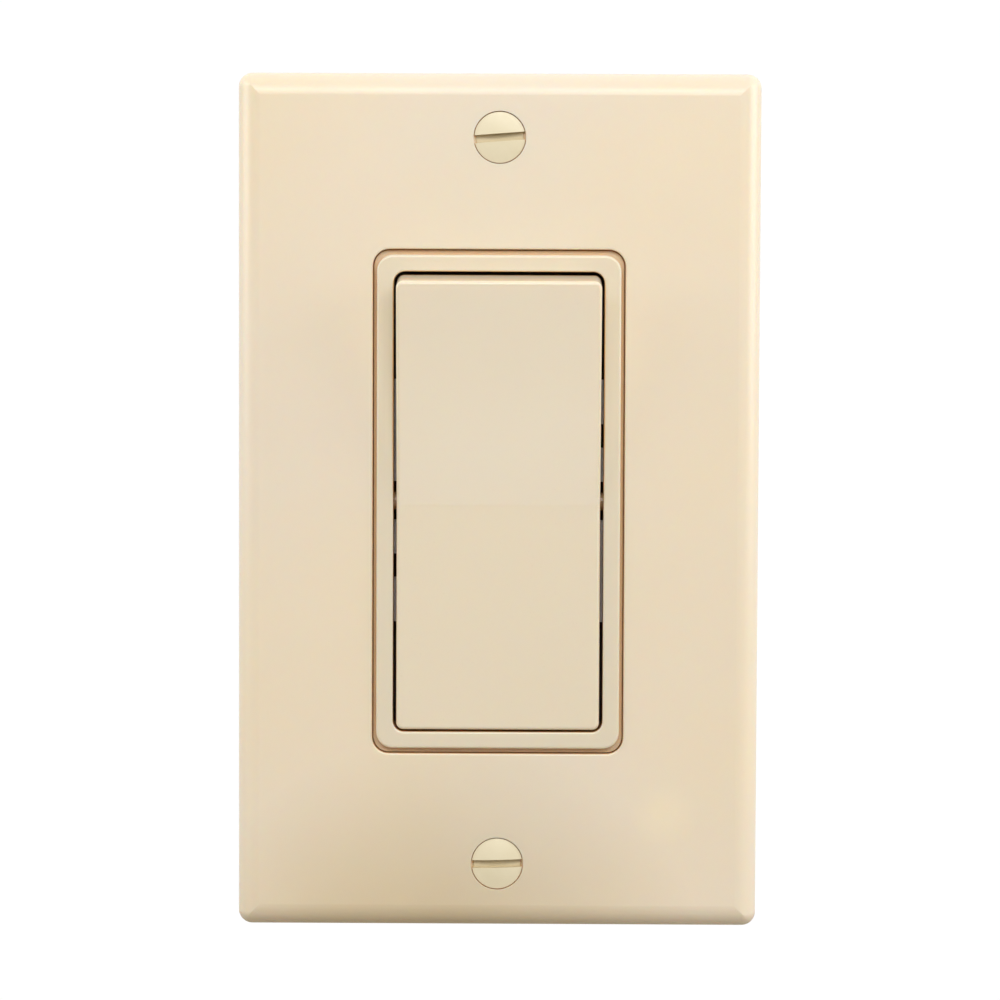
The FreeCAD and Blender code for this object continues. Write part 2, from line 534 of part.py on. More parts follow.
def wire_clamp(sign):
    """Square plate that the terminal screw draws down on the wire."""
    z = sign * TERMINAL_Z
    x0 = TERMINAL_X + TERMINAL_THICK + CLAMP_GAP
    body = block(x0, x0 + CLAMP_THICK, TERMINAL_SCREW_Y - CLAMP_HALF, TERMINAL_SCREW_Y + CLAMP_HALF,
                 z - CLAMP_HALF, z + CLAMP_HALF)
    body = round_edges(body, 0.8, lambda e: runs_along(e, 0))
    grooves = [block(x0 - 1, x0 + 0.3, TERMINAL_SCREW_Y - 5, TERMINAL_SCREW_Y + 5, z + g - 0.4, z + g + 0.4)
               for g in (-2.9, 2.9)]
    body = body.cut(grooves[0].fuse(grooves[1]))
    return body.cut(rod(CLAMP_HOLE_R, (x0 - 1, TERMINAL_SCREW_Y, z), (x0 + 2, TERMINAL_SCREW_Y, z)))


def side_screw(side, head_x, length, y, z, head_r):
    """A 6-32 binding-head screw driven in from the side; side is 1 for the right."""
    head = rod(head_r, (head_x, y, z), (head_x + side * 2.1, y, z))
    head = round_edges(head, 0.7, lambda e: abs(middle(e).x - head_x - side * 2.1) < 1e-4)
    tip_start = head_x - side * (length - SCREW_TIP)
    shank = rod(SCREW_R, (head_x, y, z), (tip_start, y, z))
    tip = taper(SCREW_R, SCREW_TIP_R, (tip_start, y, z), (head_x - side * length, y, z))
    x0, x1 = sorted((head_x + side * 1.1, head_x + side * 3.0))
    long_slot = block(x0, x1, y - 5, y + 5, z - SLOT_HALF, z + SLOT_HALF)
    slot = long_slot.fuse(block(x0, x1, y - SLOT_HALF, y + SLOT_HALF, z - 2, z + 2))
    return head.multiFuse([shank, tip]).cut(slot).removeSplitter()


def terminal_screw(sign):
    head_x = TERMINAL_X + TERMINAL_THICK + CLAMP_GAP + CLAMP_THICK + 0.05
    return side_screw(1, head_x, TERMINAL_SCREW_LENGTH, TERMINAL_SCREW_Y, sign * TERMINAL_Z, TERMINAL_HEAD_R)


def ground_screw():
    return side_screw(-1, GROUND_TAB_X, GROUND_SCREW_LENGTH, GROUND_SCREW_Y, GROUND_SCREW_Z, GROUND_HEAD_R)


# ---- base and its inner cover ----
def bay(sign, grow, x0, y0):
    z = sign * TERMINAL_Z
    return block(x0, 18.0, y0, BASE_DEPTH + 1, z - BAY_HALF - grow, z + BAY_HALF + grow)


def base_inside():
    """What stands inside the base: bay walls, mechanism platform and cover ledges."""
    back = BASE_DEPTH - BASE_BACK + LAP
    bays = [bay(s, BAY_WALL, TERMINAL_X - BAY_WALL, BAY_FRONT - BAY_WALL) for s in (-1, 1)]
    envelope = slab(BASE_WIDTH, BASE_HEIGHT, BASE_CORNER, 0, BASE_DEPTH)
    bays = [b.common(envelope) for b in bays]
    platform = block(-6, 6, PLATFORM_Y, back, -16, 16)
    platform = platform.cut(block(-7, 7, PLATFORM_Y - 1, FIXED_CONTACT_FRONT + 1.6, -17, -5.5))
    off_stop = block(-ARM_HALF_WIDTH, ARM_HALF_WIDTH, PLATFORM_Y - 0.7, PLATFORM_Y + 0.2, 8.8, 10.0)
    ledge_y = COVER_Y + COVER_THICK
    ledges = [side_block(sx, 10.5, 15.0, ledge_y, ledge_y + 2, *sorted((sz * 28.5, sz * 32.0)))
              for sx in (-1, 1) for sz in (-1, 1)]
    return bays + [platform, off_stop] + ledges


def base_cuts():
    cuts = [bay(s, 0, TERMINAL_X, BAY_FRONT) for s in (-1, 1)]
    cuts += [rod(2.2, (8, TERMINAL_SCREW_Y, s * TERMINAL_Z), (12, TERMINAL_SCREW_Y, s * TERMINAL_Z))
             for s in (-1, 1)]
    x0, x1 = TERMINAL_X - 0.1, TERMINAL_X + TERMINAL_THICK + 0.1
    wall_z = TERMINAL_Z - BAY_HALF
    cuts.append(block(x0, x1, 12.2, PLATFORM_Y + 0.2, wall_z - BAY_WALL - 0.2, wall_z + 0.2))
    cuts.append(block(x0, x1, 13.9, FIXED_CONTACT_FRONT + 1.8, -wall_z - 0.2, -wall_z + BAY_WALL + 0.2))
    pocket_x, pocket_end = HOOK_X - HOOK_FIT, HOOK_END + 0.2
    for s in (-1, 1):
        z0, z1 = s * HOOK_Z - HOOK_HALF - HOOK_FIT, s * HOOK_Z + HOOK_HALF + HOOK_FIT
        cuts.append(side_block(s, pocket_x, HOOK_X + HOOK_THICK + HOOK_FIT, -1, pocket_end, z0, z1))
        cuts.append(side_block(s, pocket_x, 18.0, HOOK_END - 1.55, pocket_end, z0, z1))
        cuts.append(side_block(s, pocket_x, PIVOT_END + 0.5, -1, 0.5, -2.7, 2.7))
    cuts += [rod(RIVET_HOLE_R, (0, -1, s * RIVET_Z), (0, LUG_DEPTH + 1, s * RIVET_Z)) for s in (-1, 1)]
    cuts.append(block(-9.0, -6.4, BASE_DEPTH - 0.5, BASE_DEPTH + 1, -8.0, 8.0))
    return cuts


def base():
    shell = slab(BASE_WIDTH, BASE_HEIGHT, BASE_CORNER, 0, BASE_DEPTH)
    shell = round_edges(shell, BASE_EDGE, lambda e: abs(middle(e).y - BASE_DEPTH) < 1e-4)
    lug = block(-LUG_HALF, LUG_HALF, 0, LUG_DEPTH, -TAB_END, TAB_END)
    lug = round_edges(lug, 1.5, lambda e: runs_along(e, 1))
    inner_width, inner_height = BASE_WIDTH - 2 * BASE_WALL, BASE_HEIGHT - 2 * BASE_END_WALL
    cavity = slab(inner_width, inner_height, 1.2, -1, BASE_DEPTH - BASE_BACK)
    body = shell.fuse(lug).cut(cavity).multiFuse(base_inside())
    for cut in base_cuts():
        body = body.cut(cut)
    return body.removeSplitter()


def inner_cover():
    """Plate that closes the base over the contacts, with a hole that the paddle's post swings in."""
    width = BASE_WIDTH - 2 * (BASE_WALL + COVER_FIT)
    height = BASE_HEIGHT - 2 * (BASE_END_WALL + COVER_FIT)
    sheet = slab(width, height, 1.1, COVER_Y, COVER_Y + COVER_THICK)
    hole = slab(7.6, 9.0, 3.7, COVER_Y - 1, COVER_Y + COVER_THICK + 1)
    rim = slab(10.0, 11.4, 4.6, COVER_Y - 0.8, COVER_Y)
    return sheet.fuse(rim).cut(hole).removeSplitter()


def pieces():
    """Every node's name and solid, at rest."""
    made = {
        "wall_plate": wall_plate(),
        "plate_screw_upper": plate_screw(1, -4.5),
        "plate_screw_lower": plate_screw(-1, -1.5),
        "bezel": bezel(),
        "strap": strap(),
        "paddle": paddle(),
        "plunger": plunger(),
        "plunger_spring": plunger_spring(),
        "contact_arm": contact_arm(),
        "moving_contact": moving_contact(),
        "fixed_contact": fixed_contact(),
        "line_terminal": line_terminal(),
        "load_terminal": load_terminal(),
        "base": base(),
        "inner_cover": inner_cover(),
        "ground_screw": ground_screw(),
    }
    for end, sign in (("upper", 1), ("lower", -1)):
        made["rivet_" + end] = rivet(sign)
        made["box_screw_" + end] = box_screw(sign)
        made["screw_keeper_" + end] = screw_keeper(sign)
    for end, sign in (("line", 1), ("load", -1)):
        made["wire_clamp_" + end] = wire_clamp(sign)
        made["terminal_screw_" + end] = terminal_screw(sign)
    return made


def main():
    os.makedirs("parts", exist_ok=True)
    for name, shape in pieces().items():
        print(name, "solids", len(shape.Solids), "valid", shape.isValid(), "mm3", round(shape.Volume, 2))
        shape.exportStep(os.path.join("parts", name + ".step"))


main()
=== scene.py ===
"""Looks for the decorator rocker wall switch: camera, studio, materials, threaded screws and plunger spring.

The frame is the CAD's, in metres: +Z up, +X right, +Y into the wall, origin at the centre of the plate's rim.
"""
import json
import math
import bmesh
import bpy
from mathutils import Matrix, Vector


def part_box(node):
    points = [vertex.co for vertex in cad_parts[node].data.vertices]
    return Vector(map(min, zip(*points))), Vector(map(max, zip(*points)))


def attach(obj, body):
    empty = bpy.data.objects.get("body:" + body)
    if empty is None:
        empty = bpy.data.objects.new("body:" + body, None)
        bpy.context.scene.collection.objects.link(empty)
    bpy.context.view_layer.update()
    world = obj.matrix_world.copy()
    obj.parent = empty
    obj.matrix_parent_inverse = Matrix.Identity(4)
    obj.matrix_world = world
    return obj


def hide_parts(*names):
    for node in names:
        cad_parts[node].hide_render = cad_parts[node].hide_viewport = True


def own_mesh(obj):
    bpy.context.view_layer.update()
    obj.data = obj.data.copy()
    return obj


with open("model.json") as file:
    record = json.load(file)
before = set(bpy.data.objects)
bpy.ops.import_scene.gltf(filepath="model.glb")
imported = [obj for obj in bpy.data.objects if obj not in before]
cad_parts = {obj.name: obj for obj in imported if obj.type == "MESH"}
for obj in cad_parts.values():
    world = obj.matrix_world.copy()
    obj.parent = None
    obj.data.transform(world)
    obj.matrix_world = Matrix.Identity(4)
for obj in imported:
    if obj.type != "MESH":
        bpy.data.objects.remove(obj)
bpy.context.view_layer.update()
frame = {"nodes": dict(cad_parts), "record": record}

NODES = frame["nodes"]
MM = 0.001

# ---- camera ----
CAMERA_DISTANCE = 0.480
CAMERA_AZIMUTH = 0.30          # degrees, towards +X
CAMERA_ELEVATION = 3.25
CAMERA_ROLL = 0.23
CAMERA_LENS, CAMERA_SENSOR = 128.3, 36.0   # mm
CAMERA_SHIFT = (0.0014, 0.0002)

# ---- studio ----
# name, azimuth and elevation in degrees, distance, (width, height), watts, colour
LIGHTS = (
    ("overhead softbox", 0, 36, 0.80, (1.1, 0.20), 3.70, (1.0, 0.99, 0.97)),
    ("right softbox", 82, 16, 0.55, (0.35, 0.35), 1.45, (1.0, 0.99, 0.975)),
    ("left softbox", -82, 18, 0.55, (0.35, 0.35), 1.22, (1.0, 0.99, 0.975)),
    ("front fill", 14, 20, 1.0, (0.7, 0.3), 2.35, (1.0, 0.98, 0.95)),
    ("reflector card", 0, -17.7, 0.485, (0.08, 0.089), 0.026, (0.95, 0.97, 1.0)),
    ("card's bright half", 0, -20.2, 0.50, (0.08, 0.044), 0.006, (0.85, 0.95, 1.0)),
)
# the room in front of the switch: how far up from straight below, and the colour there
ROOM_LOW = (0.35, (0.02, 0.017, 0.012))
ROOM_LEVEL = (0.52, (0.13, 0.13, 0.13))
ROOM_HIGH = (0.80, (0.42, 0.43, 0.44))
BACKDROP = (1.02, 1.02, 1.02)
BACKDROP_SIDE = (0.05, 0.45)     # share of +Y in the direction over which the backdrop fades in
BACKDROP_FOOT = (-0.30, -0.21)   # share of +Z over which it fades in

# ---- floor ----
FLOOR_LEVEL = -0.60
FLOOR_NEAR, FLOOR_STEP, FLOOR_FAR = -1.2, 0.3, 2.5
FLOOR_NARROW, FLOOR_WIDE = 1.0, 2.6
FLOOR_PAINT = (0.52, 0.47, 0.38)

# ---- textures; scales are in features per metre ----
DRIFT_SCALE = 28.0             # slow change of tone in a plastic
AGED_SCALE = 26.0              # yellowed patches
MARK_SCALE = 60.0              # unevenness of a stain
SMEAR_SCALE = 90.0             # patches of gloss
SPECK_SCALE = 5200.0
GRAIN_SCALE = 2600.0           # moulded surface
WEAR_SCALE = 900.0             # break-up of worn edges
TARNISH_SCALE = 260.0
DRAWN_SCALE = 1500.0           # grain of drawn or rolled metal
DRAWN_DEPTH = 0.02 * MM
PLASTIC_WEAR_WIDTH, METAL_WEAR_WIDTH = 0.25 * MM, 0.15 * MM
PLASTIC_IOR = 1.58
GLOW_RADIUS, GLOW_SCALE = (1.0, 0.60, 0.28), 1.5 * MM   # light carried through the ivory plastic
# painted shade in narrow gaps: how far the occlusion looks, and the warm dark colour the gaps are painted
# towards
GAP_SHADE_REACH = 1.6 * MM
PAINTED_GAP_SHADE = (0.80, 0.51, 0.245)
PALE_MARK = (0.885, 0.775, 0.575)
# painted shade: the warm dark colour the plate is darkened to towards its bottom
PAINTED_LOW_SHADE = (0.58, 0.455, 0.265)
# the plate's marks, a stain and a patch of painted shade: place as shares of its width and height from the
# lower left, size as a share of its width
PALE_MARK_AT, PALE_MARK_SIZE = (0.821, 0.136), 0.066
PAINTED_LOW_SHADE_AT, PAINTED_LOW_SHADE_SIZE = (0.40, -0.09), 0.52

# ---- screws ----
THREAD_PITCH = 25.4 / 32 * MM  # 6-32
THREAD_DEPTH = 0.40 * MM
THREAD_R, PLATE_THREAD_R = 1.72 * MM, 1.70 * MM
THREAD_CREST, THREAD_FLANK = 0.2, 1.25   # flat crest, and how steeply the valley falls from it
THREAD_RUN_IN = 0.15 * MM      # from the plain shank to the first turn
PLAIN_SHARE = 0.1              # of the thread's depth by which the plain shank is thinner
POINT_LENGTH, POINT_SHARE = 0.55 * MM, 0.70   # bevelled tip: its length and its end's share of the radius
SCREW_INSET = 0.02 * MM        # keeps the screw inside the CAD's outline
SCREW_CREASE = 32              # degrees; sharper edges stay crisp
RING_SIDES = 40
RINGS_PER_TURN = 8
# heads as (depth from the top, radius)
PAN_HEAD = [(0.0, 1.2 * MM), (0.10 * MM, 2.2 * MM), (0.45 * MM, 2.95 * MM), (1.0 * MM, 3.28 * MM),
            (2.08 * MM, 3.30 * MM), (2.10 * MM, 1.65 * MM)]
BINDING_HEAD = [(0.0, 2.0 * MM), (0.12 * MM, 2.9 * MM), (0.5 * MM, 3.5 * MM), (0.9 * MM, 3.68 * MM),
                (2.05 * MM, 3.70 * MM), (2.1 * MM, 3.3 * MM), (2.1 * MM, 1.70 * MM)]
GROUND_HEAD = [(depth, radius * 3.6 / 3.7) for depth, radius in BINDING_HEAD]
OVAL_RIM, OVAL_DOME, OVAL_EDGE, OVAL_NECK = 3.40 * MM, 0.40 * MM, 0.35 * MM, 1.7 * MM
OVAL_FLAT, OVAL_STEPS = 0.5 * MM, 8
# depths from a head's top to where its screw's thread starts
PLATE_PLAIN, BOX_PLAIN, TERMINAL_PLAIN, GROUND_PLAIN = 2.9 * MM, 4.0 * MM, 3.0 * MM, 2.8 * MM
# driver slots as (length, width, depth); a slot longer than the head runs right across it
PLATE_SLOT = (9 * MM, 1.04 * MM, 1.0 * MM)
CROSS = [(9 * MM, 1.0 * MM, 1.05 * MM), (4 * MM, 1.0 * MM, 1.05 * MM)]

# ---- plunger spring ----
SPRING_WIRE = 0.22 * MM        # radius
SPRING_TURNS = 7.5
CLOSED_TURNS = 0.9             # flat turns at each end
CLOSED_PITCH = 2.1 * SPRING_WIRE
SPRING_CREASE = 40             # degrees
TURN_STEPS, WIRE_SIDES = 28, 12


def to_mesh(name, bm):
    mesh = bpy.data.meshes.new(name)
    bm.to_mesh(mesh)
    bm.free()
    return mesh


# ---- studio ----
def direction(azimuth, elevation):
    """Unit vector from the object towards a viewer; azimuth 0 is straight in front."""
    a, e = math.radians(azimuth), math.radians(elevation)
    return Vector((math.sin(a) * math.cos(e), -math.cos(a) * math.cos(e), math.sin(e)))


def make_camera():
    data = bpy.data.cameras.new("camera")
    data.lens = CAMERA_LENS
    data.sensor_width = CAMERA_SENSOR
    data.clip_start = 0.01
    data.clip_end = 20.0
    data.shift_x, data.shift_y = CAMERA_SHIFT
    camera = bpy.data.objects.new("camera", data)
    bpy.context.scene.collection.objects.link(camera)
    back = direction(CAMERA_AZIMUTH, CAMERA_ELEVATION)
    roll = Matrix.Rotation(math.radians(CAMERA_ROLL), 4, "Z")
    facing = (-back).to_track_quat("-Z", "Y").to_matrix().to_4x4()
    camera.matrix_world = Matrix.Translation(back * CAMERA_DISTANCE) @ facing @ roll
    bpy.context.scene.camera = camera


def area_light(name, azimuth, elevation, distance, size, power, colour):
    data = bpy.data.lights.new(name, "AREA")
    data.shape = "RECTANGLE"
    data.size, data.size_y = size
    data.energy = power
    data.color = colour
    lamp = bpy.data.objects.new(name, data)
    bpy.context.scene.collection.objects.link(lamp)
    lamp.location = direction(azimuth, elevation) * distance
    lamp.rotation_mode = "QUATERNION"
    lamp.rotation_quaternion = (-lamp.location).to_track_quat("-Z", "Y")


def make_lights():
    for light in LIGHTS:
        area_light(*light)


def make_world():
    world = bpy.data.worlds.new("studio")
    bpy.context.scene.world = world
    world.use_nodes = True
    tree = world.node_tree
    tree.nodes.clear()
    out = tree.nodes.new("ShaderNodeOutputWorld")
    sky = tree.nodes.new("ShaderNodeBackground")
    coord = tree.nodes.new("ShaderNodeTexCoord")
    split = tree.nodes.new("ShaderNodeSeparateXYZ")
    height = tree.nodes.new("ShaderNodeMapRange")
    ramp = tree.nodes.new("ShaderNodeValToRGB")
    behind = tree.nodes.new("ShaderNodeMapRange")
    above = tree.nodes.new("ShaderNodeMapRange")
    mix = tree.nodes.new("ShaderNodeMix")
    mix.data_type = "RGBA"
    height.inputs["From Min"].default_value = -1.0
    for fade, ends in ((behind, BACKDROP_SIDE), (above, BACKDROP_FOOT)):
        fade.inputs["From Min"].default_value, fade.inputs["From Max"].default_value = ends
    stops = ramp.color_ramp.elements
    for stop, (share, colour) in ((stops[0], ROOM_LOW), (stops[1], ROOM_HIGH)):
        stop.position, stop.color = share, (*colour, 1)
    share, colour = ROOM_LEVEL
    stops.new(share).color = (*colour, 1)
    mix.inputs["B"].default_value = (*BACKDROP, 1)
    link = tree.links.new
    link(coord.outputs["Generated"], split.inputs["Vector"])
    link(split.outputs["Z"], height.inputs["Value"])
    link(height.outputs["Result"], ramp.inputs["Fac"])
    link(split.outputs["Y"], behind.inputs["Value"])
    link(split.outputs["Z"], above.inputs["Value"])
    link(multiply(tree, behind.outputs["Result"], above.outputs["Result"]), mix.inputs["Factor"])
    link(ramp.outputs["Color"], mix.inputs["A"])
    link(mix.outputs["Result"], sky.inputs["Color"])
    link(sky.outputs["Background"], out.inputs["Surface"])
    bpy.context.scene.view_settings.view_transform = "Standard"


def make_floor():
    bm = bmesh.new()
    for half, near, far in ((FLOOR_NARROW, FLOOR_NEAR, FLOOR_STEP), (FLOOR_WIDE, FLOOR_STEP, FLOOR_FAR)):
        corners = ((-half, near), (half, near), (half, far), (-half, far))
        bm.faces.new([bm.verts.new((x, y, FLOOR_LEVEL)) for x, y in corners])
    mesh = to_mesh("floor", bm)
    floor = bpy.data.objects.new("floor", mesh)
    bpy.context.scene.collection.objects.link(floor)
    mesh.materials.append(plastic("floor_paint", FLOOR_PAINT, (0.55, 0.65), 0.0, 0.01))


# ---- materials ----
def new_material(name):
    material = bpy.data.materials.new(name)
    material.use_nodes = True
    tree = material.node_tree
    shader = tree.nodes["Principled BSDF"]
    coord = tree.nodes.new("ShaderNodeTexCoord")
    return material, tree, shader, coord


def noise(tree, coord, scale, detail=3.0, stretch=None):
    """A noise texture over the object's own coordinates; scale is in features per metre."""
    node = tree.nodes.new("ShaderNodeTexNoise")
    node.inputs["Scale"].default_value = scale
    node.inputs["Detail"].default_value = detail
    source = coord.outputs["Object"]
    if stretch:
        mapping = tree.nodes.new("ShaderNodeMapping")
        mapping.inputs["Scale"].default_value = stretch
        tree.links.new(source, mapping.inputs["Vector"])
        source = mapping.outputs["Vector"]
    tree.links.new(source, node.inputs["Vector"])
    return node.outputs["Fac"]


def remap(tree, value, low, high, out_low, out_high):
    node = tree.nodes.new("ShaderNodeMapRange")
    node.inputs["From Min"].default_value = low
    node.inputs["From Max"].default_value = high
    node.inputs["To Min"].default_value = out_low
    node.inputs["To Max"].default_value = out_high
    tree.links.new(value, node.inputs["Value"])
    return node.outputs["Result"]


def mix_colour(tree, factor, a, b):
    """a and b are plain colours or sockets."""
    node = tree.nodes.new("ShaderNodeMix")
    node.data_type = "RGBA"
    tree.links.new(factor, node.inputs["Factor"])
    for socket, value in (("A", a), ("B", b)):
        if isinstance(value, bpy.types.NodeSocket):
            tree.links.new(value, node.inputs[socket])
        else:
            node.inputs[socket].default_value = (*value, 1)
    return node.outputs["Result"]


def multiply(tree, a, b):
    node = tree.nodes.new("ShaderNodeMath")
    node.operation = "MULTIPLY"
    tree.links.new(a, node.inputs[0])
    tree.links.new(b, node.inputs[1])
    return node.outputs["Value"]


def edge_mask(tree, coord, radius, low, high):
    """1 on worn outside edges, 0 on flat faces, broken up by noise."""
    bevel = tree.nodes.new("ShaderNodeBevel")
    bevel.samples = 4
    bevel.inputs["Radius"].default_value = radius
    geometry = tree.nodes.new("ShaderNodeNewGeometry")
    dot = tree.nodes.new("ShaderNodeVectorMath")
    dot.operation = "DOT_PRODUCT"
    tree.links.new(bevel.outputs["Normal"], dot.inputs[0])
    tree.links.new(geometry.outputs["Normal"], dot.inputs[1])
    sharp = remap(tree, dot.outputs["Value"], high, low, 0.0, 1.0)
    patches = remap(tree, noise(tree, coord, WEAR_SCALE, 4.0), 0.42, 0.62, 0.15, 1.0)
    return multiply(tree, sharp, patches)


def shade(colour, factor):
    return tuple(min(1.0, c * factor) for c in colour)


def add_bump(tree, shader, height, strength, depth):
    bump = tree.nodes.new("ShaderNodeBump")
    bump.inputs["Strength"].default_value = strength
    bump.inputs["Distance"].default_value = depth
    tree.links.new(height, bump.inputs["Height"])
    tree.links.new(bump.outputs["Normal"], shader.inputs["Normal"])


def painted_gap_shade(tree, tone, colour):
    """Painted shade: darkens and warms the tone in narrow gaps, the more the surface is enclosed."""
    occlusion = tree.nodes.new("ShaderNodeAmbientOcclusion")
    occlusion.samples = 8
    occlusion.inputs["Distance"].default_value = GAP_SHADE_REACH
    depth = remap(tree, occlusion.outputs["AO"], 0.36, 0.62, 1.0, 0.0)
    return mix_colour(tree, depth, tone, colour)


def spot(tree, coord, tone, centre, radius, core, colour):
    """A soft round patch over the tone, used for a stain and for painted shade; core is the share of the
    radius where it is full.
    """
    distance = tree.nodes.new("ShaderNodeVectorMath")
    distance.operation = "DISTANCE"
    distance.inputs[1].default_value = centre
    tree.links.new(coord.outputs["Object"], distance.inputs[0])
    inside = remap(tree, distance.outputs["Value"], core * radius, radius, 1.0, 0.0)
    uneven = remap(tree, noise(tree, coord, MARK_SCALE, 2.0), 0.3, 0.7, 0.8, 1.0)
    return mix_colour(tree, multiply(tree, inside, uneven), tone, colour)


def plastic(name, colour, roughness, wear, variation, grain=GRAIN_SCALE, grain_depth=0.03 * MM,
            strength=0.25, glow=0.0, gap_shade=None, stains_and_shade=(), aged=None):
    """Moulded plastic with a faint grain, slow colour drift and edges polished lighter by handling.

    wear and variation are shares; aged is the colour of yellowed patches, and the colour given for narrow
    gaps is painted shade.
    """
    material, tree, shader, coord = new_material(name)
    shader.inputs["IOR"].default_value = PLASTIC_IOR
    shader.inputs["Subsurface Weight"].default_value = glow
    shader.inputs["Subsurface Radius"].default_value = GLOW_RADIUS
    shader.inputs["Subsurface Scale"].default_value = GLOW_SCALE
    drift = remap(tree, noise(tree, coord, DRIFT_SCALE, 2.0), 0.3, 0.7, 0.0, 1.0)
    tone = mix_colour(tree, drift, shade(colour, 1 - variation), shade(colour, 1 + variation))
    speck = remap(tree, noise(tree, coord, SPECK_SCALE, 1.0), 0.70, 0.80, 0.0, 0.20)
    tone = mix_colour(tree, speck, tone, shade(colour, 0.72))
    if wear > 0:
        mask = edge_mask(tree, coord, PLASTIC_WEAR_WIDTH, 0.75, 0.995)
        scaled = remap(tree, mask, 0.0, 1.0, 0.0, wear)
        tone = mix_colour(tree, scaled, tone, shade(colour, 1.16))
    if aged:
        old = remap(tree, noise(tree, coord, AGED_SCALE, 1.5), 0.38, 0.66, 0.0, 1.0)
        tone = mix_colour(tree, old, tone, aged)
    # round stains, and painted shade laid on in the same way
    for mark in stains_and_shade:
        tone = spot(tree, coord, tone, *mark)
    # painted shade: narrow gaps darkened towards a warm brown
    if gap_shade:
        tone = painted_gap_shade(tree, tone, gap_shade)
    tree.links.new(tone, shader.inputs["Base Color"])
    fine = noise(tree, coord, grain, 3.0)
    smears = noise(tree, coord, SMEAR_SCALE, 4.0)
    tree.links.new(remap(tree, smears, 0.3, 0.7, *roughness), shader.inputs["Roughness"])
    add_bump(tree, shader, fine, strength, grain_depth)
    return material


def metal(name, colour, dark, roughness, grain_stretch=(1.0, 1.0, 1.0), metallic=1.0, wear_colour=None,
          gap_shade=None):
    """Plated or rolled metal with drawn grain, tarnish patches and bright edges."""
    material, tree, shader, coord = new_material(name)
    shader.inputs["Metallic"].default_value = metallic
    patches = remap(tree, noise(tree, coord, TARNISH_SCALE, 5.0), 0.35, 0.7, 0.0, 1.0)
    tone = mix_colour(tree, patches, colour, dark)
    mask = edge_mask(tree, coord, METAL_WEAR_WIDTH, 0.70, 0.99)
    tone = mix_colour(tree, mask, tone, wear_colour or shade(colour, 1.2))
    # painted shade: slots and gaps darkened towards the given colour
    if gap_shade:
        tone = painted_gap_shade(tree, tone, gap_shade)
    tree.links.new(tone, shader.inputs["Base Color"])
    grain = noise(tree, coord, DRAWN_SCALE, 4.0, grain_stretch)
    tree.links.new(remap(tree, grain, 0.3, 0.7, *roughness), shader.inputs["Roughness"])
    add_bump(tree, shader, grain, 0.25, DRAWN_DEPTH)
    return material


def plate_stain_and_shade():
    """The plate's marks as centre, radius, core and colour: a pale stain low on the right, and painted shade
    darkening the plate towards the bottom.
    """
    low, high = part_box("wall_plate")
    size = high - low
    pale, low_shade = ((low.x + across * size.x, low.y, low.z + up * size.z)
                    for across, up in (PALE_MARK_AT, PAINTED_LOW_SHADE_AT))
    return (pale, PALE_MARK_SIZE * size.x, 0.3, PALE_MARK), (low_shade, PAINTED_LOW_SHADE_SIZE * size.x, 0.0, PAINTED_LOW_SHADE)


